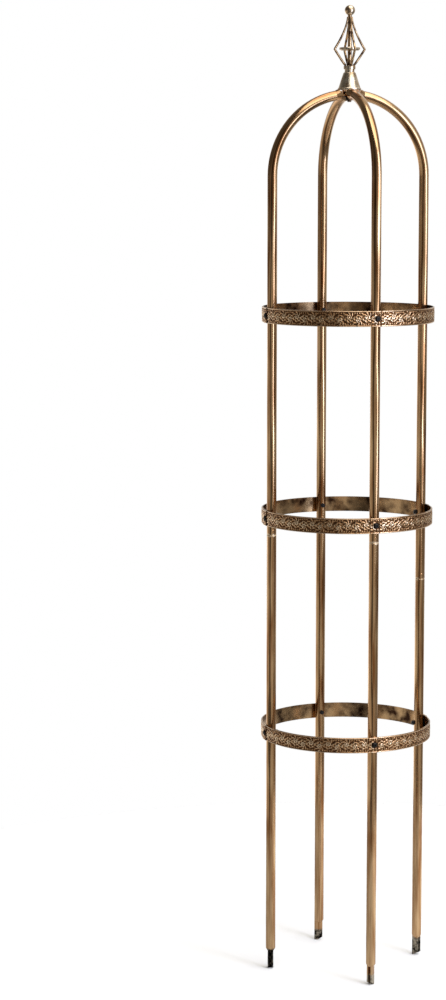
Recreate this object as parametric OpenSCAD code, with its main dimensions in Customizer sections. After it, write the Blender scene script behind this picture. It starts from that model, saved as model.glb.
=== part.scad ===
// Garden obelisk: four tubular poles bent over to meet at a crown, tied together by
// three bands and topped by an open cage finial. It stands on its pressed feet.
// The origin is on the ground, on the middle axis. +Z is up, and the poles stand on
// the X and Y axes: pole 1 on +X, 2 on +Y, 3 on -X and 4 on -Y.

/* [Poles] */
// Radius of the circle that the pole centre lines stand on
pole_circle_r = 156; // [140:1:180]
// Outside diameter of the pole tube
tube_d = 19; // [18:0.5:20]
// Wall thickness of the pole tube
tube_wall = 1.2; // [1:0.1:1.5]
// Height at which the poles start to bend inwards
spring_z = 1574; // [1500:1:1650]
// Height of the push-fit joint in poles 2, 3 and 4
joint_z = 876; // [860:1:880]
// Height of the push-fit joint in pole 1
low_joint_z = 775; // [740:1:790]
// Length of the reduced spigot above each joint
spigot_h = 70; // [60:1:80]

/* [Feet] */
// Height of the pinched spike at the bottom of each pole
spike_h = 41; // [35:1:50]
// Width of the pinched spike across its groove
spike_w = 11; // [10:0.5:12]
// Direction that the groove of each spike faces, poles 1 to 4, in degrees
spike_turn = [305, 350, 250, 225]; // [0:5:355]

/* [Rings] */
// Height of the middle of the bottom, middle and top ring
ring_z = [482, 910, 1306]; // [400:1:1400]
// Height of a ring's band
band_h = 30; // [26:1:34]
// Thickness of the band's sheet
band_t = 1.6; // [1.2:0.1:2]
// How far the rims stand out from the sheet
rim_out = 2.2; // [1.5:0.1:2.5]
// Height of each rim
rim_h = 2.4; // [2:0.1:3]
// Length of the plain tab at the lapped end of a band
tab_len = 18; // [16:0.5:22]

/* [Finial] */
// Radius of the bottom of the finial's conical base
base_r = 22.5; // [20:0.5:24]
// Height of the finial's conical base
base_h = 34; // [30:1:38]
// Radius of the finial's cage at its widest
cage_r = 34; // [28:0.5:36]
// Thickness of a cage bar
bar_t = 5; // [4:0.5:6]
// Radius of the disc inside the cage
disc_r = 20; // [16:0.5:20]
// Diameter of the ball on top
ball_d = 20; // [18:0.5:22]

/* [Hidden] */
$fn = 64;
eps = 0.01;

// Poles
tube_r = tube_d / 2;
bore_r = tube_r - tube_wall;
joints = [low_joint_z, joint_z, joint_z, joint_z];
dimple_r = 2.6;
dimple_up = 12;
spike_depth = 16;
spike_groove = 5.4;

// Crown, where the flattened pole ends lie on one another
press_r = 30;
eye_r = 14;
eye_t = 3;
crown_z = spring_z + pole_circle_r + 8.5;
eye_level = [1, 2, 0, 3];
stud_r = 4;
stud_hole_r = 4.2;

// Rings
ring_names = ["bottom", "middle", "top"];
band_r = pole_circle_r + tube_r + 0.1;
tab_r = band_r + band_t + 0.1;
head_seat_r = tab_r + band_t + 0.05;
bolt_r = 2.5;
bolt_hole_r = 2.75;
bolt_head_r = 5;
bolt_head_h = 3.2;
nut_seat_r = pole_circle_r - tube_r - 0.05;
nut_h = 4;
// One degree round a band, in millimetres
arc_mm = PI * band_r / 180;
// Angles, from the bolt, of the lap's two ends and of where the plain tab starts
lap_past = 6 / arc_mm;
tab_start = (tab_len - 6) / arc_mm;
under_past = 8 / arc_mm;

// Finial
base_top_z = crown_z + base_h;
collar_r = 11.5;
collar_h = 10;
collar_z = base_top_z + 5;
cage_foot_z = collar_z + collar_h - 3;
cage_wide_z = crown_z + 78;
cage_neck_z = crown_z + 139;
disc_h = 6;
ball_z = crown_z + 151.5;
washer_r = 11;
washer_h = 1.6;
crown_nut_h = 6.5;

// Turns a shape drawn at +X round to the place of pole i
module at_pole(i) {
    rotate([0, 0, 90 * (i - 1)]) children();
}

// A hole along X, across a pole that stands at +X, at height z
module cross_hole(z, r) {
    translate([pole_circle_r, 0, z]) rotate([0, 90, 0]) cylinder(h = 2 * tube_d, r = r, center = true);
}

// The small round dent that locks a push-fit joint, facing -Y
module joint_dimple(z) {
    translate([0, -tube_r - 1.4, z]) rotate([0, 90, 0]) sphere(r = dimple_r);
}

// Half section of a lower pole above its spike: the tube, its shoulder and its spigot
function lower_pole_section(joint) = [
    [spike_w / 2 - 0.5, spike_h - 5],
    [spike_w / 2 + 1, spike_h - 4],
    [tube_r - 0.6, spike_h],
    [tube_r, spike_h + 1.5],
    [tube_r, joint - 0.8],
    [tube_r - 0.8, joint],
    [bore_r - 0.1, joint],
    [bore_r - 0.1, joint + spigot_h - 2],
    [bore_r - 0.9, joint + spigot_h],
    [bore_r - 1.3, joint + spigot_h],
    [bore_r - 1.3, joint - 6],
    [bore_r, joint - 12],
    [bore_r, spike_h + 6],
    [spike_w / 2 - 2, spike_h - 2],
    [0, spike_h - 2],
    [0, spike_h - 5]
];

// The pinched spike: a narrow U whose open side faces +X
module spike() {
    closed_x = spike_w / 2 - tube_r;
    difference() {
        linear_extrude(height = spike_h + 2) difference() {
            union() {
                translate([closed_x, 0]) circle(d = spike_w);
                translate([closed_x, -spike_w / 2]) square([spike_depth - spike_w / 2, spike_w]);
            }
            translate([closed_x + 1, 0]) circle(d = spike_groove);
            translate([closed_x + 1, -spike_groove / 2]) square([spike_depth, spike_groove]);
        }
        // The open side is cut off at a slant, which leaves a small flat tip
        rotate([90, 0, 0]) linear_extrude(height = 2 * spike_w, center = true)
            polygon([[closed_x, -1], [closed_x, 0], [tube_r, 8], [tube_r, -1]]);
    }
}

module lower_pole(i) {
    joint = joints[i - 1];
    turn = spike_turn[i - 1] - 90 * (i - 1);
    color("#8B6F4E") at_pole(i) difference() {
        translate([pole_circle_r, 0, 0]) union() {
            rotate_extrude() polygon(lower_pole_section(joint));
            rotate([0, 0, turn]) spike();
        }
        cross_hole(ring_z[0], bolt_hole_r);
        cross_hole(ring_z[1], bolt_hole_r);
    }
}

// A straight tube from height z0 to z1 with chamfered lower edge
module pole_tube(z0, z1) {
    rotate_extrude() polygon([
        [bore_r, z0],
        [tube_r - 0.8, z0],
        [tube_r, z0 + 0.8],
        [tube_r, z1],
        [bore_r, z1]
    ]);
}

// Height of the bend's centre line at distance x from the middle axis
function bend_z(x) = spring_z + sqrt(pole_circle_r * pole_circle_r - x * x);

// The bend of an upper pole, from the spring line to where the end is pressed flat
module pole_bend() {
    translate([0, 0, spring_z]) rotate([90, 0, 0])
        rotate_extrude(angle = acos((press_r - 5) / pole_circle_r))
            translate([pole_circle_r, 0]) difference() {
                circle(r = tube_r);
                circle(r = bore_r);
            }
}

// The pressed end of an upper pole: it spreads as a cone from inside the tube and is
// squeezed down to a flat eye at height z
module pressed_eye(z) {
    slope = asin((press_r - 2) / pole_circle_r);
    fold_x = press_r - 7.5;
    fold_z = bend_z(fold_x);
    union() {
        intersection() {
            translate([press_r, 0, bend_z(press_r)]) rotate([0, slope - 90, 0])
                cylinder(h = press_r - eye_r, r1 = tube_r - 0.5, r2 = eye_r);
            rotate([90, 0, 0]) linear_extrude(height = 4 * eye_r, center = true) polygon([
                [press_r + 8, bend_z(press_r) - 2 * tube_r],
                [press_r + 8, bend_z(press_r) + 2 * tube_r],
                [fold_x, fold_z + tube_r + 0.4],
                [eye_r + 3.5, z + eye_t - 0.05],
                [eye_r, z + eye_t - 0.05],
                [eye_r, z + 0.05],
                [eye_r + 3.5, z + 0.05],
                [fold_x, fold_z - tube_r - 0.4]
            ]);
        }
        translate([0, 0, z]) linear_extrude(height = eye_t) union() {
            circle(r = eye_r);
            translate([0, 1 - eye_r]) square([eye_r + 3, 2 * eye_r - 2]);
        }
    }
}

module upper_pole(i) {
    joint = joints[i - 1];
    eye_z = crown_z - eye_t * (4 - eye_level[i - 1]);
    color("#9A7B55") at_pole(i) difference() {
        union() {
            translate([pole_circle_r, 0, 0]) pole_tube(joint, spring_z);
            pole_bend();
            pressed_eye(eye_z);
        }
        cross_hole(ring_z[1], bolt_hole_r);
        cross_hole(ring_z[2], bolt_hole_r);
        translate([0, 0, crown_z - 30]) cylinder(h = 60, r = stud_hole_r);
        translate([pole_circle_r, 0, 0]) rotate([0, 0, -90 * (i - 1)])
            joint_dimple(joint + dimple_up);
    }
}

// An upright wedge from the middle axis, between angles a0 and a1, taller than a band
module wedge(a0, a1, height = 2 * band_h) {
    far = 2 * band_r;
    mid = (a0 + a1) / 2;
    linear_extrude(height = height, center = true) polygon([
        [0, 0],
        [far * cos(a0), far * sin(a0)],
        [far * cos(mid), far * sin(mid)],
        [far * cos(a1), far * sin(a1)]
    ]);
}

// What lies outside radius r between angles a0 and a1, over the given height
module outside(r, a0, a1, height = 2 * band_h) {
    difference() {
        wedge(a0, a1, height);
        cylinder(h = 3 * band_h, r = r, center = true);
    }
}

// A quarter of a ring, from its plain end under pole i's bolt to its lapping tab at the
// next pole's bolt. Between them the sheet has a rim along its top and bottom. The tab is
// set out by one sheet thickness.
module ring_band(z, i) {
    panel_start = lap_past + 0.3;
    panel_end = 90 - tab_start;
    color("#A9825A") at_pole(i) translate([0, 0, z]) difference() {
        intersection() {
            rotate_extrude() translate([band_r, -band_h / 2])
                square([band_t + rim_out, band_h]);
            wedge(-under_past, 90 + lap_past);
        }
        outside(band_r + band_t, panel_start, panel_end, band_h - 2 * rim_h);
        outside(band_r + band_t - 0.05, -under_past - 5, panel_start);
        outside(tab_r + band_t, panel_end, 95 + lap_past);
        intersection() {
            wedge(panel_end + 0.6, 95 + lap_past);
            cylinder(h = 2 * band_h, r = tab_r, center = true);
        }
        for (a = [0, 90])
            rotate([0, 0, a]) translate([band_r, 0, 0]) rotate([0, 90, 0])
                cylinder(h = 20, r = bolt_hole_r, center = true);
    }
}

// A button-head bolt along X that points at the axis
module ring_bolt() {
    bolt_end = nut_seat_r - nut_h - 1.5;
    difference() {
        union() {
            translate([bolt_end, 0, 0]) rotate([0, 90, 0])
                cylinder(h = head_seat_r - bolt_end + 1, r = bolt_r);
            translate([head_seat_r, 0, 0]) rotate([0, 90, 0]) cylinder(h = 1, r = bolt_head_r);
            translate([head_seat_r + 1, 0, 0]) rotate([0, 90, 0])
                cylinder(h = bolt_head_h - 1, r1 = bolt_head_r, r2 = bolt_head_r - 2);
        }
        translate([head_seat_r + 1.4, 0, 0]) rotate([0, 90, 0]) cylinder(h = 5, r = 1.7, $fn = 6);
    }
}

module ring_nut() {
    translate([nut_seat_r - nut_h, 0, 0]) rotate([0, 90, 0]) difference() {
        cylinder(h = nut_h, r = 4.6, $fn = 6);
        translate([0, 0, -1]) cylinder(h = nut_h + 2, r = bolt_r + 0.05, $fn = 48);
    }
}

module ring_bolts(z) {
    color("#1D1A18") for (i = [1:4]) at_pole(i) translate([0, 0, z]) ring_bolt();
}

module ring_nuts(z) {
    color("#2A2622") for (i = [1:4]) at_pole(i) translate([0, 0, z]) ring_nut();
}

module crown_washer() {
    color("#2A2622") translate([0, 0, crown_z - 4 * eye_t - washer_h]) difference() {
        cylinder(h = washer_h, r = washer_r);
        translate([0, 0, -1]) cylinder(h = washer_h + 2, r = stud_hole_r);
    }
}

module crown_nut() {
    color("#2A2622") translate([0, 0, crown_z - 4 * eye_t - washer_h - crown_nut_h]) difference() {
        cylinder(h = crown_nut_h, r = 7.5, $fn = 6);
        translate([0, 0, -1]) cylinder(h = crown_nut_h + 2, r = stud_r + 0.05, $fn = 48);
    }
}

// The conical foot of the finial, with a rolled lip and a short neck under the collar
module finial_base() {
    color("#B08D66") translate([0, 0, crown_z]) rotate_extrude() polygon([
        [stud_hole_r, 0],
        [base_r - 0.8, 0],
        [base_r, 1],
        [base_r, 3],
        [base_r - 1.4, 4.4],
        [collar_r + 0.6, base_h - 2],
        [collar_r - 0.6, base_h - 0.6],
        [collar_r - 2, base_h],
        [collar_r - 2, base_h + 5],
        [stud_hole_r, base_h + 5]
    ]);
}

// The collar that the cage bars are set into
module finial_collar() {
    color("#B08D66") translate([0, 0, collar_z]) rotate_extrude() polygon([
        [stud_hole_r, 0],
        [collar_r - 1, 0],
        [collar_r, 1],
        [collar_r, collar_h - 4],
        [collar_r - 1, collar_h - 3],
        [stud_hole_r, collar_h - 3]
    ]);
}

// The rod up the middle: the threaded stud below, the spindle inside the cage above
module finial_spindle() {
    color("#8B6F4E") rotate_extrude() polygon([
        [0, crown_z - 4 * eye_t - washer_h - crown_nut_h - 3],
        [stud_r - 0.6, crown_z - 4 * eye_t - washer_h - crown_nut_h - 3],
        [stud_r, crown_z - 4 * eye_t - washer_h - crown_nut_h - 2],
        [stud_r, cage_foot_z + 0.1],
        [stud_r + 2, cage_foot_z + 0.1],
        [stud_r, cage_foot_z + 12],
        [stud_r, cage_wide_z + disc_h],
        [stud_r - 1, cage_neck_z - 6],
        [stud_r, cage_neck_z],
        [stud_r, ball_z - ball_d / 2 + 1],
        [2, ball_z - ball_d / 2 + 1],
        [2, ball_z],
        [0, ball_z]
    ]);
}

// The thin disc half way up the cage
module finial_disc() {
    color("#B08D66") translate([0, 0, cage_wide_z - disc_h / 2]) rotate_extrude() polygon([
        [stud_r + 0.05, 0],
        [disc_r - 3, 0],
        [disc_r, 2],
        [disc_r, disc_h - 1],
        [disc_r - 1, disc_h],
        [stud_r + 0.05, disc_h]
    ]);
}

// Side view of a cage bar: up from the collar, out to the widest point, and in a hollow
// curve up to the neck. The bar is drawn as a strip of even thickness.
function cage_curve(t) = let (
        rise = cage_neck_z - cage_wide_z,
        r_neck = stud_r + bar_t / 2 - 0.5
    ) [
        r_neck + (cage_r - bar_t / 2 - r_neck) * pow(1 - t, 1.6),
        cage_wide_z + rise * t
    ];

function cage_inner(t) = [max(cage_curve(t)[0] - bar_t * (1 - 0.45 * t), stud_r + 0.05), cage_curve(t)[1]];

function cage_steps() = [0.12, 0.25, 0.4, 0.55, 0.7, 0.85, 1];

function cage_outline() = concat(
    [[collar_r - 3.5, cage_foot_z + 0.1], [collar_r - 1, cage_foot_z + 0.1]],
    [[cage_r - 0.6, cage_wide_z - 1], [cage_r - 0.6, cage_wide_z + 1]],
    [for (t = cage_steps()) cage_curve(t) + [bar_t * 0.3 * (1 - t), 0]],
    [for (k = [0 : len(cage_steps()) - 1])
        cage_inner(cage_steps()[len(cage_steps()) - 1 - k])],
    [[cage_r - bar_t - 1, cage_wide_z]]
);

module finial_bar(i) {
    color("#8B6F4E") at_pole(i) rotate([90, 0, 0])
        linear_extrude(height = bar_t, center = true) polygon(cage_outline());
}

module finial_ball() {
    color("#B08D66") translate([0, 0, ball_z]) difference() {
        sphere(d = ball_d);
        translate([0, 0, -ball_d]) cylinder(h = ball_d, r = 2.05);
        translate([0, 0, -ball_d / 2 - 1]) cylinder(h = 2.1, r = stud_r + 0.05);
    }
}

for (i = [1:4]) {
    lower_pole(i);
    upper_pole(i);
    finial_bar(i);
}
for (k = [0:2]) {
    for (i = [1:4]) {
        ring_band(ring_z[k], i);
    }
    ring_bolts(ring_z[k]);
    ring_nuts(ring_z[k]);
}
crown_washer();
crown_nut();
finial_base();
finial_collar();
finial_spindle();
finial_disc();
finial_ball();
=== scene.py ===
"""Garden obelisk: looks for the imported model."""
import math

import bpy
import numpy as np
from mathutils import Matrix, Vector


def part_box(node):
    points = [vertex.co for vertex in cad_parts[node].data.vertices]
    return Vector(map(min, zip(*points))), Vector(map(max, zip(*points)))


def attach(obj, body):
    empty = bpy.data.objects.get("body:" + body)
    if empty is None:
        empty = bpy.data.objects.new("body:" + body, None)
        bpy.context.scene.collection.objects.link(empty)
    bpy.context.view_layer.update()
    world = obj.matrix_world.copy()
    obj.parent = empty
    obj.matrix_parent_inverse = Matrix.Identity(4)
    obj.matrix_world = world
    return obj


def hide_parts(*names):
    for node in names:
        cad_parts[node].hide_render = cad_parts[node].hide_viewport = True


bl_info = {
    "name": "Garden Obelisk",
    "version": (1, 0, 0),
    "blender": (4, 5, 0),
    "location": "View3D > Sidebar > Obelisk",
    "description": "Dresses a tubular garden obelisk with embossed bands and a cage finial",
    "category": "Object",
}

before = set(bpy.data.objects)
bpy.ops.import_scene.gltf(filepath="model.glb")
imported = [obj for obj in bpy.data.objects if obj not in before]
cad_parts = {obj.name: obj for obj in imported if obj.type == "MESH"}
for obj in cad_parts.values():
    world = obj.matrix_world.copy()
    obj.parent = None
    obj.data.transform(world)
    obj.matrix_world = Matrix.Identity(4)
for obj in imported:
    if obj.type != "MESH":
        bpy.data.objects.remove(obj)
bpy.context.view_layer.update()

MM = 0.001
TUBE_R = 9.5 * MM
# How far the crown stands above the top of the bends' circle.
CROWN_RISE = 8.5 * MM
# How far up each pole's spike is black steel, and how much of that is patched with pale steel, set per pole
# to how dark or bright each foot looks: partly wear, partly painted shade and painted highlight.
SPIKE_TIP_TONES = ((36 * MM, 0.35), (22 * MM, 0.3), (41 * MM, 0.0), (20 * MM, 0.9))
# How bright the studio is all round, as (degrees to the right of the camera's side, level).
STUDIO_WALLS = (
    (-180, 0.27),
    (-128, 0.27),
    (-105, 0.17),
    (-78, 0.11),
    (-50, 0.08),
    (-38, 0.018),
    (-12, 0.018),
    (-2, 0.11),
    (23, 0.16),
    (52, 0.2),
    (75, 0.13),
    (105, 0.13),
    (135, 0.24),
    (180, 0.27),
)
RING_NAMES = ("bottom", "middle", "top")
RINGS = [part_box(f"{name}_ring_band_1") for name in RING_NAMES]
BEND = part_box("upper_pole_1")
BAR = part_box("finial_bar_1")
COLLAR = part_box("finial_collar")


def linear(hex_colour):
    """An sRGB hex colour as linear red, green and blue."""
    value = hex_colour.lstrip("#")
    channels = [int(value[k : k + 2], 16) / 255 for k in (0, 2, 4)]
    return [c / 12.92 if c <= 0.04045 else ((c + 0.055) / 1.055) ** 2.4 for c in channels]


def colour_property(name, description, hex_colour):
    """A colour that the sidebar can change."""
    return bpy.props.FloatVectorProperty(
        name=name,
        description=description,
        subtype="COLOR",
        size=3,
        min=0,
        max=1,
        default=linear(hex_colour),
    )


def length_property(name, description, millimetres):
    """A length that the sidebar can change."""
    return bpy.props.FloatProperty(
        name=name, description=description, unit="LENGTH", default=millimetres * MM
    )


class ObeliskSizes(bpy.types.PropertyGroup):
    """Sizes of the worked surfaces"""

    relief: length_property("Relief", "How far the scrollwork stands out of the band's sheet", 1.5)
    sheet: length_property("Sheet", "Thickness of the band's sheet", 1.6)
    rim: length_property("Rim", "Height of the plain rim along each edge of a band", 2.3)
    tab: length_property("Tab", "Length of the tab that laps over the next band", 18)
    past_bolt: length_property("Past the bolt", "How far a tab runs on past its bolt", 6)
    under_past: length_property("Lap", "How far a band's plain end runs back under its bolt", 8)
    repeat: length_property("Repeat", "About how long one repeat of the scrollwork is", 33)
    seat: length_property("Seat", "Radius of the flat that each bolt head sits on", 5.6)
    gap: length_property("Gap", "Gap under a band and under its tab", 0.1)
    grid: length_property("Grid", "Spacing of the mesh lines across the scrollwork", 0.72)
    bar: length_property("Cage bar", "Thickness of a bar of the finial's cage", 4.8)


class ObeliskColours(bpy.types.PropertyGroup):
    """Colours of the finishes"""

    bronze: colour_property("Bronze", "Burnished bronze where it is clean", "#D2AE82")
    bronze_dark: colour_property("Dark bronze", "Burnished bronze where it has toned down", "#8C5C34")
    patina: colour_property("Patina", "The dark tone left in hollows", "#3A2418")
    # This colour is also the painted glint round each pole's joint, besides the worn high spots of the
    # bands.
    rubbed_and_glint: colour_property("Rubbed", "High spots that are rubbed bright", "#E8D2B2")
    band: colour_property("Band", "The bands' bronze, warmer than the tubes", "#C09568")
    band_dark: colour_property("Dark band", "The bands' bronze where it has toned down", "#7A5232")
    turned: colour_property("Turned bronze", "The finial's turned pieces, paler than the tubes", "#E6D8C0")
    turned_dark: colour_property("Dark turned bronze", "Turned pieces where toned down", "#B09270")
    # On the spikes this pale steel is partly a painted highlight.
    steel: colour_property("Steel", "Bare steel where the spikes are scraped", "#B4A893")
    # This black is also each spike's tip, partly painted shade.
    black: colour_property("Black", "Blackened steel of the bolts and nuts", "#15120F")
    floor: colour_property("Floor", "The pale studio floor", "#F4F3F1")


def add(tree, kind, settings=None, inputs=None):
    """Adds a node: settings are its attributes, and inputs are values or the sockets that feed it."""
    made = tree.nodes.new(kind)
    for key, value in (settings or {}).items():
        setattr(made, key, value)
    for key, value in (inputs or {}).items():
        if isinstance(value, bpy.types.NodeSocket):
            tree.links.new(value, made.inputs[key])
        else:
            made.inputs[key].default_value = value
    return made


def new_material(name):
    """An empty material and its node tree."""
    material = bpy.data.materials.new(name)
    material.use_nodes = True
    material.node_tree.nodes.clear()
    return material, material.node_tree


def finish_material(tree, shader):
    """Joins the shader to the material's surface."""
    add(tree, "ShaderNodeOutputMaterial", inputs={"Surface": shader.outputs["BSDF"]})


def rgba(colour):
    """The colour with full opacity, as colour sockets want it."""
    return (*colour, 1.0)


def along_pole(tree):
    """Coordinates in metres that follow a pole round its bend: out, across it and along it."""
    place = add(tree, "ShaderNodeTexCoord").outputs["Object"]
    axis = add(tree, "ShaderNodeSeparateXYZ", inputs={0: place}).outputs
    bend_r = BEND[1].x - TUBE_R
    spring = BEND[1].z - bend_r - CROWN_RISE
    xx = add(tree, "ShaderNodeMath", {"operation": "MULTIPLY"}, {0: axis["X"], 1: axis["X"]}).outputs[0]
    yy = add(tree, "ShaderNodeMath", {"operation": "MULTIPLY"}, {0: axis["Y"], 1: axis["Y"]}).outputs[0]
    flat = add(tree, "ShaderNodeMath", {"operation": "ADD"}, {0: xx, 1: yy}).outputs[0]
    flat_r = add(tree, "ShaderNodeMath", {"operation": "SQRT"}, {0: flat}).outputs[0]
    above = add(tree, "ShaderNodeMath", {"operation": "SUBTRACT"}, {0: axis["Z"], 1: spring}).outputs[0]
    rise = add(tree, "ShaderNodeMath", {"operation": "MAXIMUM"}, {0: above, 1: 0.0}).outputs[0]
    straight = add(tree, "ShaderNodeMath", {"operation": "MINIMUM"}, {0: axis["Z"], 1: spring}).outputs[0]
    turn = add(tree, "ShaderNodeMath", {"operation": "ARCTAN2"}, {0: rise, 1: flat_r}).outputs[0]
    along = add(
        tree, "ShaderNodeMath", {"operation": "MULTIPLY_ADD"}, {0: turn, 1: bend_r, 2: straight}
    ).outputs[0]
    reach = add(
        tree, "ShaderNodeMath", {"operation": "MULTIPLY_ADD"}, {0: rise, 1: rise, 2: flat}
    ).outputs[0]
    out = add(tree, "ShaderNodeMath", {"operation": "SQRT"}, {0: reach}).outputs[0]
    across = add(tree, "ShaderNodeMath", {"operation": "MULTIPLY"}, {0: axis["X"], 1: axis["Y"]}).outputs[0]
    side = add(tree, "ShaderNodeMath", {"operation": "DIVIDE"}, {0: across, 1: flat_r}).outputs[0]
    return add(tree, "ShaderNodeCombineXYZ", inputs={"X": out, "Y": side, "Z": along}).outputs[0]


def burnished_tube(colours, joint, black_tip_height, pale_share):
    """Steel tube, plated and burnished along its length, then toned down: fine lengthwise streaks,
    soft long patches of darker tone and a satin gloss. Where its two lengths meet it has painted glints
    in bright spots, and its spike is black steel patched with pale steel: partly wear, partly painted shade
    and painted highlight."""
    material, tree = new_material("burnished_bronze_tube")
    place = along_pole(tree)
    fine = add(
        tree, "ShaderNodeVectorMath", {"operation": "MULTIPLY"}, {0: place, 1: (420, 420, 7)}
    ).outputs[0]
    streak = add(
        tree, "ShaderNodeTexNoise", inputs={"Vector": fine, "Scale": 1.0, "Detail": 3}
    ).outputs[0]
    broad = add(
        tree, "ShaderNodeVectorMath", {"operation": "MULTIPLY"}, {0: place, 1: (110, 110, 9)}
    ).outputs[0]
    patch = add(
        tree, "ShaderNodeTexNoise", inputs={"Vector": broad, "Scale": 1.0, "Detail": 5}
    ).outputs[0]
    lines = add(
        tree, "ShaderNodeMath", {"operation": "MULTIPLY_ADD"}, {0: streak, 1: 0.4, 2: -0.2}
    ).outputs[0]
    total = add(tree, "ShaderNodeMath", {"operation": "ADD"}, {0: lines, 1: patch}).outputs[0]
    tone = add(
        tree, "ShaderNodeMapRange", inputs={"Value": total, "From Min": 0.32, "From Max": 0.66}
    ).outputs[0]
    bronze = add(
        tree,
        "ShaderNodeMix",
        {"data_type": "RGBA"},
        {0: tone, 6: rgba(colours.bronze_dark), 7: rgba(colours.bronze)},
    ).outputs[2]

    # Painted glints round the joint, as bright spots.
    spot = add(tree, "ShaderNodeTexCoord").outputs["Object"]
    level = add(tree, "ShaderNodeSeparateXYZ", inputs={0: spot}).outputs["Z"]
    ragged = add(
        tree, "ShaderNodeTexNoise", inputs={"Vector": spot, "Scale": 150.0, "Detail": 4}
    ).outputs[0]
    above = add(tree, "ShaderNodeMath", {"operation": "SUBTRACT"}, {0: level, 1: joint}).outputs[0]
    off = add(tree, "ShaderNodeMath", {"operation": "ABSOLUTE"}, {0: above}).outputs[0]
    near = add(
        tree,
        "ShaderNodeMapRange",
        inputs={"Value": off, "From Max": 0.007, "To Min": 0.55, "To Max": 0},
    ).outputs[0]
    spots = add(tree, "ShaderNodeMath", {"operation": "ADD"}, {0: near, 1: ragged}).outputs[0]
    # Mask of the painted glints round the joint.
    rubbed_and_glint = add(
        tree, "ShaderNodeMapRange", inputs={"Value": spots, "From Min": 0.82, "From Max": 0.95}
    ).outputs[0]
    plated = add(
        tree, "ShaderNodeMix", {"data_type": "RGBA"}, {0: rubbed_and_glint, 6: bronze, 7: rgba(colours.rubbed_and_glint)}
    ).outputs[2]

    # Black steel patched with pale steel at the bottom of the spike: partly wear, partly painted shade and
    # painted highlight.
    edge = add(
        tree, "ShaderNodeMath", {"operation": "MULTIPLY_ADD"}, {0: ragged, 1: -0.012, 2: level}
    ).outputs[0]
    black_tip = add(
        tree,
        "ShaderNodeMapRange",
        inputs={
            "Value": edge,
            "From Min": black_tip_height - 0.008,
            "From Max": black_tip_height - 0.004,
            "To Min": 1,
            "To Max": 0,
        },
    ).outputs[0]
    pale_patches = add(
        tree,
        "ShaderNodeMapRange",
        inputs={"Value": ragged, "From Min": 0.5 - pale_share * 0.3, "From Max": 0.85 - pale_share * 0.4},
    ).outputs[0]
    steel = add(
        tree,
        "ShaderNodeMix",
        {"data_type": "RGBA"},
        {0: pale_patches, 6: rgba(colours.black), 7: rgba(colours.steel)},
    ).outputs[2]
    finish = add(tree, "ShaderNodeMix", {"data_type": "RGBA"}, {0: black_tip, 6: plated, 7: steel}).outputs[2]

    gloss = add(
        tree, "ShaderNodeMapRange", inputs={"Value": streak, "To Min": 0.12, "To Max": 0.19}
    ).outputs[0]
    duller = add(
        tree, "ShaderNodeMath", {"operation": "MULTIPLY_ADD"}, {0: rubbed_and_glint, 1: 0.3, 2: gloss}
    ).outputs[0]
    rough = add(
        tree, "ShaderNodeMath", {"operation": "MULTIPLY_ADD"}, {0: black_tip, 1: 0.2, 2: duller}
    ).outputs[0]
    slow = add(
        tree, "ShaderNodeVectorMath", {"operation": "MULTIPLY"}, {0: place, 1: (60, 60, 4)}
    ).outputs[0]
    wave = add(
        tree, "ShaderNodeTexNoise", inputs={"Vector": slow, "Scale": 1.0, "Detail": 1}
    ).outputs[0]
    drawn = add(
        tree, "ShaderNodeBump", inputs={"Strength": 1.0, "Distance": 0.004, "Height": wave}
    ).outputs[0]
    shader = add(
        tree,
        "ShaderNodeBsdfPrincipled",
        inputs={"Base Color": finish, "Metallic": 1.0, "Roughness": rough, "Normal": drawn},
    )
    finish_material(tree, shader)
    return material


def embossed_sheet(colours):
    """Embossed sheet, bronzed and rubbed back: dark matt hollows and bright smooth high spots."""
    material, tree = new_material("embossed_bronze_sheet")
    place = add(tree, "ShaderNodeTexCoord").outputs["Object"]
    relief = add(tree, "ShaderNodeAttribute", {"attribute_name": "relief"}).outputs["Fac"]
    height = add(tree, "ShaderNodeMapRange", inputs={"Value": relief, "From Max": 0.9}).outputs[0]
    grime = add(
        tree, "ShaderNodeTexNoise", inputs={"Vector": place, "Scale": 260.0, "Detail": 4}
    ).outputs[0]
    worn = add(
        tree, "ShaderNodeMath", {"operation": "MULTIPLY_ADD"}, {0: grime, 1: 0.5, 2: -0.25}
    ).outputs[0]
    level = add(tree, "ShaderNodeMath", {"operation": "ADD"}, {0: height, 1: worn}).outputs[0]
    ramp = add(tree, "ShaderNodeValToRGB", inputs={0: level})
    stops = ramp.color_ramp.elements
    stops[0].position, stops[0].color = 0.08, rgba(colours.patina)
    stops[1].position, stops[1].color = 1.0, rgba(colours.rubbed_and_glint)
    middle = stops.new(0.4)
    middle.color = rgba(colours.band_dark)
    upper = stops.new(0.75)
    upper.color = rgba(colours.band)
    rough = add(
        tree, "ShaderNodeMapRange", inputs={"Value": level, "To Min": 0.42, "To Max": 0.17}
    ).outputs[0]
    bump = add(
        tree, "ShaderNodeBump", inputs={"Strength": 0.25, "Distance": 0.0003, "Height": grime}
    ).outputs[0]
    shader = add(
        tree,
        "ShaderNodeBsdfPrincipled",
        inputs={"Base Color": ramp.outputs[0], "Metallic": 1.0, "Roughness": rough, "Normal": bump},
    )
    finish_material(tree, shader)
    return material


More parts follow.
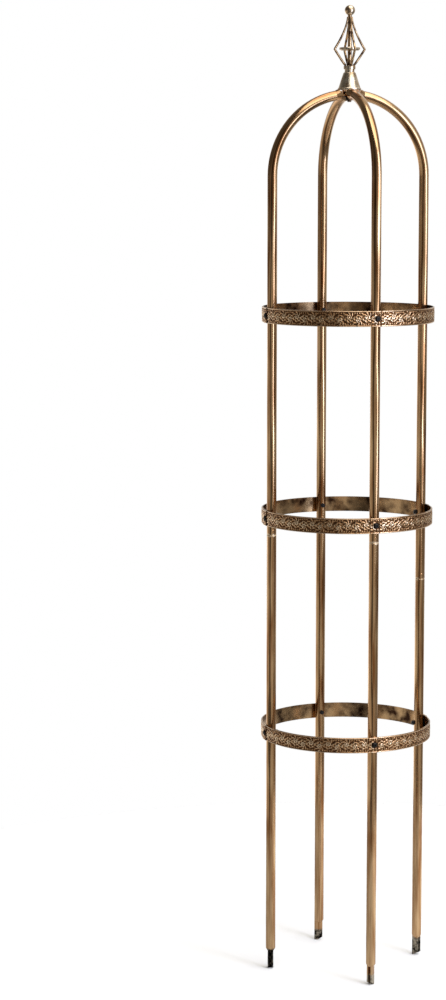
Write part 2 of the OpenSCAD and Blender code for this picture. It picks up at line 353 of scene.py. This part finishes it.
def plain_bronze(name, light, dark, roughness, patch_mm):
    """Plain bronzed metal: an even satin gloss, clouded by patches of darker tone."""
    material, tree = new_material(name)
    place = add(tree, "ShaderNodeTexCoord").outputs["Object"]
    cloud = add(
        tree, "ShaderNodeTexNoise", inputs={"Vector": place, "Scale": 1 / (patch_mm * MM), "Detail": 5}
    ).outputs[0]
    tone = add(
        tree, "ShaderNodeMapRange", inputs={"Value": cloud, "From Min": 0.36, "From Max": 0.64}
    ).outputs[0]
    colour = add(
        tree, "ShaderNodeMix", {"data_type": "RGBA"}, {0: tone, 6: rgba(dark), 7: rgba(light)}
    ).outputs[2]
    rough = add(
        tree,
        "ShaderNodeMapRange",
        inputs={"Value": cloud, "To Min": roughness + 0.06, "To Max": roughness - 0.06},
    ).outputs[0]
    grain = add(
        tree, "ShaderNodeTexNoise", inputs={"Vector": place, "Scale": 900.0, "Detail": 3}
    ).outputs[0]
    bump = add(
        tree, "ShaderNodeBump", inputs={"Strength": 0.1, "Distance": 0.0002, "Height": grain}
    ).outputs[0]
    shader = add(
        tree,
        "ShaderNodeBsdfPrincipled",
        inputs={"Base Color": colour, "Metallic": 1.0, "Roughness": rough, "Normal": bump},
    )
    finish_material(tree, shader)
    return material


def blackened_steel(colours):
    """Oil-blackened steel fasteners: nearly black, with a dull sheen and a fine scale."""
    material, tree = new_material("blackened_steel")
    place = add(tree, "ShaderNodeTexCoord").outputs["Object"]
    scale = add(
        tree, "ShaderNodeTexNoise", inputs={"Vector": place, "Scale": 1200.0, "Detail": 3}
    ).outputs[0]
    rough = add(
        tree, "ShaderNodeMapRange", inputs={"Value": scale, "To Min": 0.35, "To Max": 0.6}
    ).outputs[0]
    tone = add(
        tree,
        "ShaderNodeMix",
        {"data_type": "RGBA"},
        {0: scale, 6: rgba(colours.black), 7: rgba([c * 2.2 for c in colours.black])},
    ).outputs[2]
    bump = add(
        tree, "ShaderNodeBump", inputs={"Strength": 0.2, "Distance": 0.0002, "Height": scale}
    ).outputs[0]
    shader = add(
        tree,
        "ShaderNodeBsdfPrincipled",
        inputs={"Base Color": tone, "Metallic": 0.6, "Roughness": rough, "Normal": bump},
    )
    finish_material(tree, shader)
    return material


def set_material(thing, material):
    """Gives a piece one material in place of what it had."""
    thing.data.materials.clear()
    thing.data.materials.append(material)


def new_piece(name, points, faces, materials):
    """A mesh piece of the object, in the frame's own coordinates."""
    mesh = bpy.data.meshes.new(name)
    mesh.from_pydata(points, [], faces)
    for material in materials:
        mesh.materials.append(material)
    piece = bpy.data.objects.new(name, mesh)
    bpy.context.scene.collection.objects.link(piece)
    mesh.shade_smooth()
    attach(piece, "root")
    return piece


def band_radius(sizes):
    """Inner radius of a ring's bands, just clear of the outer side of the poles."""
    return BEND[1].x + sizes.gap


def spiral(centre, start_r, end_r, start_turn, turns, count=90):
    """Points of a spiral that winds in towards its centre."""
    t = np.linspace(0, 1, count)
    r = start_r + (end_r - start_r) * t**0.85
    a = 2 * math.pi * (start_turn + turns * t)
    return np.stack([centre[0] + r * np.cos(a), centre[1] + r * np.sin(a)], 1)


def ridge(u, v, line, half_width, period):
    """Height, 0 to 1, of a rounded ridge along a line that repeats with the period."""
    best = np.full(u.shape, 1e9)
    for shift in (-period, 0, period):
        du = u[..., None] - line[:, 0] - shift
        dv = v[..., None] - line[:, 1]
        best = np.minimum(best, (du * du + dv * dv).min(-1))
    return np.sqrt(np.clip(1 - best / half_width**2, 0, 1))


def leaf(u, v, at, length, width, turn, period):
    """Height, 0 to 1, of a leaf with a hollow along its middle vein."""
    best = np.zeros(u.shape)
    c, s = math.cos(turn), math.sin(turn)
    for shift in (-period, 0, period):
        du, dv = u - at[0] - shift, v - at[1]
        along, across = (du * c + dv * s) / length, (dv * c - du * s) / width
        taper = 1 - 0.45 * along
        dome = np.sqrt(np.clip(1 - along**2 - (across / taper) ** 2, 0, 1))
        vein = 1 - 0.35 * np.exp(-((across / 0.16) ** 2))
        best = np.maximum(best, dome * vein)
    return best


def berry(u, v, at, radius, period):
    """Height, 0 to 1, of a small round bead."""
    best = np.zeros(u.shape)
    for shift in (-period, 0, period):
        d2 = (u - at[0] - shift) ** 2 + (v - at[1]) ** 2
        best = np.maximum(best, np.sqrt(np.clip(1 - d2 / radius**2, 0, 1)))
    return best


def scrollwork(u, v, period):
    """Relief, 0 to 1, of a running vine in millimetres: a wavy stem with a leafy curl in each bend."""
    stem_u = np.linspace(0, period, 120)
    stem = np.stack([stem_u, 6.2 * np.sin(2 * math.pi * stem_u / period)], 1)
    relief = 0.2 + 0.14 * np.sin(2 * math.pi * 12 * u / period) * np.sin(1.9 * v)
    for side, middle in ((1, period / 4), (-1, 3 * period / 4)):
        centre = (middle, -2.9 * side)
        for shift in (-period, 0, period):
            du, dv = u - centre[0] - shift, (v - centre[1]) * side
            r, a = np.hypot(du, dv), np.arctan2(dv, du)
            lobes = (0.5 + 0.5 * np.cos(7 * a + 0.62 * r)) ** 0.8
            veins = 0.86 + 0.14 * np.cos(28 * a + 2.5 * r)
            tips = 10.6 + 1.4 * np.cos(7 * a + 0.62 * r)
            reach = np.clip((r - 3.1) / 1.3, 0, 1) * np.clip((tips - r) / 2.2, 0, 1)
            relief = np.maximum(relief, 0.92 * lobes * veins * np.sqrt(reach))
        relief = np.maximum(relief, ridge(u, v, spiral(centre, 4.4, 2.6, 0.1, 1.6 * side), 0.8, period))
        relief = np.maximum(relief, berry(u, v, centre, 1.8, period))
        for du, dv, length, width, turn in (
            (-6.8, 10.3, 3.0, 1.5, 25),
            (6.8, 10.3, 3.0, 1.5, 155),
            (-2.4, 10.6, 2.4, 1.2, 60),
            (2.4, 10.6, 2.4, 1.2, 120),
        ):
            at = (middle + du, dv * side)
            shape = leaf(u, v, at, length, width, math.radians(turn * side), period)
            relief = np.maximum(relief, 0.85 * shape)
    return np.maximum(relief, 0.8 * ridge(u, v, stem, 1.0, period))


def embossed_band(name, z_middle, height, quarter, sizes, materials):
    """A quarter band: plain end, embossed panel with rims, and lapping tab, as one closed shell."""
    inner = band_radius(sizes)
    per_degree = math.pi * inner / 180
    start = -sizes.under_past / per_degree
    # Degrees between neighbouring bands, along the tab's riser, and over its thickness.
    step, jog, riser = 0.3, 0.25, 0.02
    panel_start = sizes.past_bolt / per_degree + step
    panel_end = 90 - (sizes.tab - sizes.past_bolt) / per_degree
    end = 90 + sizes.past_bolt / per_degree
    panel_mm = (panel_end - panel_start) * per_degree / MM
    repeats = round(panel_mm * MM / sizes.repeat)
    period = panel_mm / repeats
    across = int(round(height / sizes.grid))
    steps = int(round(panel_mm * MM / sizes.grid / repeats)) * repeats
    tab_steps = int(round(sizes.tab / sizes.grid))
    angles = np.concatenate(
        [
            np.linspace(start, panel_start - riser, 8),
            np.linspace(panel_start, panel_end, steps + 1),
            [panel_end + riser, panel_end + step],
            np.linspace(panel_end + step + jog, end, tab_steps),
        ]
    )
    v = np.linspace(-height / 2, height / 2, across + 1)
    grid_a, grid_v = np.meshgrid(angles, v, indexing="ij")
    on_panel = grid_a >= panel_start
    along = (grid_a - panel_start) * per_degree / MM
    relief = scrollwork(along % period, grid_v / MM, period)
    edge = height / 2 - np.abs(grid_v)
    rim = np.clip(1 - np.abs(edge - sizes.rim / 2) / (sizes.rim / 2), 0, 1) ** 0.5
    inside = edge > sizes.rim * 1.15
    raised = sizes.relief * np.where(inside, relief, rim)
    fade = np.clip(np.minimum(grid_a - panel_start, end - grid_a) * per_degree / (0.8 * MM), 0, 1)
    from_bolt = np.hypot((grid_a - 90) * per_degree, grid_v)
    flat_seat = np.clip((from_bolt - sizes.seat) / (1.0 * MM), 0, 1)
    raised = np.where(on_panel, raised * fade * flat_seat, 0)
    tab = grid_a >= panel_end + riser
    lift = np.where(tab, sizes.sheet + sizes.gap, 0)
    outer_r = inner + sizes.sheet + raised + lift
    lapped = angles >= panel_end + step + jog
    inner_r = np.where(lapped, inner + sizes.sheet + sizes.gap, inner)
    turn = math.radians(90 * (quarter - 1))
    around = np.radians(grid_a) + turn
    outer = np.stack([outer_r * np.cos(around), outer_r * np.sin(around), grid_v + z_middle], -1)
    around = np.radians(angles) + turn
    bottom = np.full(around.shape, z_middle - height / 2)
    low = np.stack([inner_r * np.cos(around), inner_r * np.sin(around), bottom], -1)
    high = low + (0, 0, height)
    points = np.concatenate([outer.reshape(-1, 3), low, high])

    # Outer skin first, then the inner skin with the two edges, then the two ends.
    columns, rows = len(angles), across + 1
    first_low, first_high = columns * rows, columns * rows + columns
    faces = [
        (i * rows + j, (i + 1) * rows + j, (i + 1) * rows + j + 1, i * rows + j + 1)
        for i in range(columns - 1)
        for j in range(rows - 1)
    ]
    embossed = len(faces)
    for i in range(columns - 1):
        under, over = i * rows, i * rows + rows - 1
        faces.append((first_low + i, first_high + i, first_high + i + 1, first_low + i + 1))
        faces.append((under, first_low + i, first_low + i + 1, under + rows))
        faces.append((over, over + rows, first_high + i + 1, first_high + i))
    last_under, last_over = (columns - 1) * rows, columns * rows - 1
    faces.append((first_low, *range(rows), first_high))
    faces.append((first_high + columns - 1, *range(last_over, last_under - 1, -1), first_high - 1))
    piece = new_piece(name + "_embossed", points.tolist(), faces, materials)
    stored = np.concatenate([(raised / sizes.relief).ravel(), np.zeros(2 * columns)])
    piece.data.attributes.new("relief", "FLOAT", "POINT").data.foreach_set("value", stored)
    plain = np.zeros(len(faces), np.int32)
    plain[embossed:] = 1
    column = np.arange(embossed) // (rows - 1)
    centre = (angles[column] + angles[column + 1]) / 2
    plain[:embossed] = centre < panel_start
    piece.data.polygons.foreach_set("material_index", plain)
    smooth = np.ones(len(faces), bool)
    smooth[embossed:] = False
    piece.data.polygons.foreach_set("use_smooth", smooth)
    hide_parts(name)
    return piece


def swept_bar(name, line, radii, material, sides=14):
    """A round bar along a line of points, with its ends closed."""
    line = [Vector(p) for p in line]
    points, faces = [], []
    side_axis = (line[1] - line[0]).cross(line[-1] - line[0])
    if side_axis.length < 1e-9:
        side_axis = Vector((0, 1, 0))
    side_axis.normalize()
    for k, (p, r) in enumerate(zip(line, radii)):
        tangent = (line[min(k + 1, len(line) - 1)] - line[max(k - 1, 0)]).normalized()
        out = side_axis.cross(tangent).normalized()
        for s in range(sides):
            angle = 2 * math.pi * s / sides
            points.append(p + out * (r * math.cos(angle)) + side_axis * (r * math.sin(angle)))
    for k in range(len(line) - 1):
        for s in range(sides):
            a, b = k * sides + s, k * sides + (s + 1) % sides
            faces.append((a, b, b + sides, a + sides))
    faces.append(tuple(range(sides - 1, -1, -1)))
    last = (len(line) - 1) * sides
    faces.append(tuple(range(last, last + sides)))
    return new_piece(name, [tuple(p) for p in points], faces, (material,))


def cage_line(count=28):
    """Centre line of a cage bar, as (distance from the axis, height): out, then hollow to the neck."""
    foot = (COLLAR[1].x - 3.2 * MM, COLLAR[1].z + 0.5 * MM)
    wide_z = foot[1] + 31 * MM
    wide_r = BAR[1].x - 2.6 * MM
    neck = (4.2 * MM, BAR[1].z)
    line = []
    for t in np.linspace(0, 1, 9)[:-1]:
        line.append((foot[0] + (wide_r - foot[0]) * t**0.92, foot[1] + (wide_z - foot[1]) * t))
    for t in np.linspace(0, 1, count):
        line.append((neck[0] + (wide_r - neck[0]) * (1 - t) ** 1.55, wide_z + (neck[1] - wide_z) * t))
    return line


def facing(way):
    """The rotation that points a lamp along a direction."""
    return way.to_track_quat("-Z", "Y").to_euler()


class OBELISK_OT_stage(bpy.types.Operator):
    """Sets up the camera, the pale floor and the studio lights"""

    bl_idname = "obelisk.stage"
    bl_label = "Stage"

    def execute(self, context):
        scene = context.scene
        colours = scene.obelisk_colours
        turned = Matrix.Rotation(math.radians(-19.64), 4, "Z")
        camera = bpy.data.objects.new("camera", bpy.data.cameras.new("camera"))
        scene.collection.objects.link(camera)
        camera.data.sensor_width = 36
        camera.data.lens = 92.94
        camera.data.clip_end = 100
        look = (
            Matrix.Rotation(math.radians(2.77), 4, "Z")
            @ Matrix.Rotation(math.radians(-7.455), 4, "X")
            @ Matrix.Rotation(math.radians(90), 4, "X")
        )
        camera.matrix_world = turned @ Matrix.Translation((0, -5.057, 1.60)) @ look
        scene.camera = camera
        scene.view_settings.view_transform = "Standard"

        floor_mesh = bpy.data.meshes.new("floor")
        turns = [math.radians(5 * k) for k in range(72)]
        disc_edge = [(math.cos(a) * 1.3, math.sin(a) * 1.3, 0) for a in turns]
        floor_mesh.from_pydata(disc_edge, [], [tuple(range(72))])
        floor = bpy.data.objects.new("floor", floor_mesh)
        scene.collection.objects.link(floor)
        material, tree = new_material("painted_studio_floor")
        mottle = add(tree, "ShaderNodeTexNoise", inputs={"Scale": 40.0}).outputs[0]
        rough = add(
            tree, "ShaderNodeMapRange", inputs={"Value": mottle, "To Min": 0.7, "To Max": 0.8}
        ).outputs[0]
        spot = add(tree, "ShaderNodeTexCoord").outputs["Object"]
        lit_side = turned @ Vector((0.8, 0.6, 0))
        across = add(
            tree, "ShaderNodeVectorMath", {"operation": "DOT_PRODUCT"}, {0: spot, 1: tuple(lit_side)}
        ).outputs["Value"]
        shade = add(
            tree,
            "ShaderNodeMapRange",
            inputs={
                "Value": across,
                "From Min": -0.35,
                "From Max": 0.45,
                "To Min": 0.42,
                "To Max": 0.9,
            },
        ).outputs[0]
        seen = add(tree, "ShaderNodeLightPath").outputs["Is Camera Ray"]
        paint = add(
            tree, "ShaderNodeMix", {"data_type": "RGBA"}, {0: seen, 6: shade, 7: rgba(colours.floor)}
        ).outputs[2]
        shader = add(
            tree,
            "ShaderNodeBsdfPrincipled",
            inputs={"Base Color": paint, "Roughness": rough, "Specular IOR Level": 0.2},
        )
        finish_material(tree, shader)
        set_material(floor, material)

        overhead = bpy.data.lights.new("overhead", "SUN")
        overhead.angle = math.radians(70)
        overhead.energy = 2.75
        sky = bpy.data.objects.new("overhead", overhead)
        scene.collection.objects.link(sky)
        sky.rotation_euler = facing(turned @ Vector((-0.35, 0.3, -1)))

        swing = math.radians(48)
        key_place = Vector((1.7 * math.sin(swing), -1.7 * math.cos(swing), 1.6))
        key_way = Vector((-math.sin(swing), math.cos(swing), -0.05))
        side_place, side_way = Vector((1.64, -0.75, 1.95)), Vector((-1, 0.45, -0.12))
        for name, width, tall, energy, place, way in (
            ("key_box", 0.55, 1.75, 19, key_place, key_way),
            ("side_box", 0.6, 1.2, 4, side_place, side_way),
        ):
            lamp = bpy.data.lights.new(name, "AREA")
            lamp.shape, lamp.size, lamp.size_y = "RECTANGLE", width, tall
            lamp.energy = energy
            lamp.color = linear("#D0DEFF")
            box = bpy.data.objects.new(name, lamp)
            scene.collection.objects.link(box)
            box.location = turned @ place
            box.rotation_euler = facing(turned @ way)
            box.visible_camera = False

        world = bpy.data.worlds.new("studio")
        scene.world = world
        world.use_nodes = True
        tree = world.node_tree
        tree.nodes.clear()
        direction = add(tree, "ShaderNodeTexCoord").outputs["Generated"]
        ahead, right = (
            add(
                tree,
                "ShaderNodeVectorMath",
                {"operation": "DOT_PRODUCT"},
                {0: direction, 1: tuple(turned @ way)},
            ).outputs["Value"]
            for way in (Vector((0, -1, 0)), Vector((1, 0, 0)))
        )
        angle = add(tree, "ShaderNodeMath", {"operation": "ARCTAN2"}, {0: right, 1: ahead}).outputs[0]
        round_room = add(
            tree, "ShaderNodeMapRange", inputs={"Value": angle, "From Min": -math.pi, "From Max": math.pi}
        ).outputs[0]
        glow = add(tree, "ShaderNodeValToRGB", inputs={0: round_room})
        stops = glow.color_ramp.elements
        while len(stops) < len(STUDIO_WALLS):
            stops.new(0.5)
        for stop, (degrees, level) in zip(stops, STUDIO_WALLS):
            stop.position = degrees / 360 + 0.5
            stop.color = (level, level * 0.97, level * 0.92, 1)
        dim_way = (turned @ Vector((-0.82, 0.2, 0.55))).normalized()
        toward_dim = add(
            tree, "ShaderNodeVectorMath", {"operation": "DOT_PRODUCT"}, {0: direction, 1: tuple(dim_way)}
        ).outputs["Value"]
        flagged = add(
            tree,
            "ShaderNodeMapRange",
            inputs={
                "Value": toward_dim,
                "From Min": 0.55,
                "From Max": 0.85,
                "To Min": 3.0,
                "To Max": 0.8,
            },
        ).outputs[0]
        up = add(tree, "ShaderNodeSeparateXYZ", inputs={0: direction}).outputs["Z"]
        below = add(
            tree,
            "ShaderNodeMapRange",
            inputs={"Value": up, "From Min": -0.015, "From Max": -0.08, "To Min": 0, "To Max": 1},
        ).outputs[0]
        gain = add(
            tree, "ShaderNodeMath", {"operation": "MULTIPLY_ADD"}, {0: right, 1: -0.9, 2: 0.45}
        ).outputs[0]
        lift = add(
            tree, "ShaderNodeMath", {"operation": "MULTIPLY_ADD"}, {0: below, 1: gain, 2: 1.0}
        ).outputs[0]
        under = add(
            tree,
            "ShaderNodeMapRange",
            inputs={"Value": up, "From Min": -0.3, "From Max": -0.6, "To Min": 1, "To Max": 0.3},
        ).outputs[0]
        floored = add(tree, "ShaderNodeMath", {"operation": "MULTIPLY"}, {0: lift, 1: under}).outputs[0]
        power = add(tree, "ShaderNodeMath", {"operation": "MULTIPLY"}, {0: floored, 1: flagged}).outputs[0]
        studio = add(tree, "ShaderNodeBackground", inputs={"Color": glow.outputs[0], "Strength": power})
        white = add(tree, "ShaderNodeBackground", inputs={"Color": (1, 1, 1, 1), "Strength": 1.0})
        seen = add(tree, "ShaderNodeLightPath").outputs["Is Camera Ray"]
        mixed = add(
            tree, "ShaderNodeMixShader", inputs={0: seen, 1: studio.outputs[0], 2: white.outputs[0]}
        ).outputs[0]
        add(tree, "ShaderNodeOutputWorld", inputs={"Surface": mixed})
        return {"FINISHED"}


class OBELISK_OT_poles(bpy.types.Operator):
    """Gives the pole tubes their burnished finish"""

    bl_idname = "obelisk.poles"
    bl_label = "Poles"

    def execute(self, context):
        for k in range(1, 5):
            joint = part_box(f"upper_pole_{k}")[0].z
            material = burnished_tube(context.scene.obelisk_colours, joint, *SPIKE_TIP_TONES[k - 1])
            set_material(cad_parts[f"lower_pole_{k}"], material)
            set_material(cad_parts[f"upper_pole_{k}"], material)
        return {"FINISHED"}


class OBELISK_OT_bands(bpy.types.Operator):
    """Makes the embossed quarter bands of the three rings"""

    bl_idname = "obelisk.bands"
    bl_label = "Ring bands"

    def execute(self, context):
        sizes, colours = context.scene.obelisk_sizes, context.scene.obelisk_colours
        embossed = embossed_sheet(colours)
        plain = plain_bronze("satin_bronze_sheet", colours.bronze, colours.patina, 0.22, 24)
        for ring, (low, high) in zip(RING_NAMES, RINGS):
            for quarter in range(1, 5):
                name = f"{ring}_ring_band_{quarter}"
                middle = (low.z + high.z) / 2
                embossed_band(name, middle, high.z - low.z, quarter, sizes, (embossed, plain))
        return {"FINISHED"}


class OBELISK_OT_fixings(bpy.types.Operator):
    """Blackens the bolts, the nuts and the crown's washer"""

    bl_idname = "obelisk.fixings"
    bl_label = "Fixings"

    def execute(self, context):
        material = blackened_steel(context.scene.obelisk_colours)
        names = [f"{ring}_ring_{part}" for ring in RING_NAMES for part in ("bolts", "nuts")]
        for name in names + ["crown_washer", "crown_nut"]:
            set_material(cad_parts[name], material)
        return {"FINISHED"}


class OBELISK_OT_finial(bpy.types.Operator):
    """Makes the bars of the finial's cage and finishes the turned pieces"""

    bl_idname = "obelisk.finial"
    bl_label = "Finial"

    def execute(self, context):
        sizes, colours = context.scene.obelisk_sizes, context.scene.obelisk_colours
        turned = plain_bronze("turned_bronze", colours.turned, colours.turned_dark, 0.26, 14)
        forged = plain_bronze("forged_bronze_bar", colours.bronze, colours.patina, 0.3, 9)
        for name in ("finial_base", "finial_collar", "finial_disc", "finial_ball"):
            set_material(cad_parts[name], turned)
        set_material(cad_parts["finial_spindle"], forged)
        line = cage_line()
        for k in range(4):
            a = math.radians(90 * k)
            points = [(r * math.cos(a), r * math.sin(a), z) for r, z in line]
            taper = [sizes.bar / 2 * (1 - 0.25 * i / len(line)) for i in range(len(line))]
            bar = swept_bar(f"finial_bar_{k + 1}_bent", points, taper, forged)
            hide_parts(f"finial_bar_{k + 1}")
        return {"FINISHED"}


class OBELISK_PT_panel(bpy.types.Panel):
    """Shows the obelisk's sizes, colours and steps in the sidebar"""

    bl_idname = "OBELISK_PT_panel"
    bl_label = "Obelisk"
    bl_space_type = "VIEW_3D"
    bl_region_type = "UI"
    bl_category = "Obelisk"

    def draw(self, context):
        for group in (context.scene.obelisk_sizes, context.scene.obelisk_colours):
            for key in group.__annotations__:
                self.layout.prop(group, key)
        for operator in OPERATORS:
            self.layout.operator(operator.bl_idname)


OPERATORS = (OBELISK_OT_stage, OBELISK_OT_poles, OBELISK_OT_bands, OBELISK_OT_fixings, OBELISK_OT_finial)
CLASSES = (ObeliskSizes, ObeliskColours, *OPERATORS, OBELISK_PT_panel)


def register():
    for cls in CLASSES:
        bpy.utils.register_class(cls)
    bpy.types.Scene.obelisk_sizes = bpy.props.PointerProperty(type=ObeliskSizes)
    bpy.types.Scene.obelisk_colours = bpy.props.PointerProperty(type=ObeliskColours)


def unregister():
    del bpy.types.Scene.obelisk_colours
    del bpy.types.Scene.obelisk_sizes
    for cls in reversed(CLASSES):
        bpy.utils.unregister_class(cls)


def main():
    register()
    bpy.ops.obelisk.stage()
    bpy.ops.obelisk.poles()
    bpy.ops.obelisk.bands()
    bpy.ops.obelisk.fixings()
    bpy.ops.obelisk.finial()


if __name__ == "__main__":
    main()
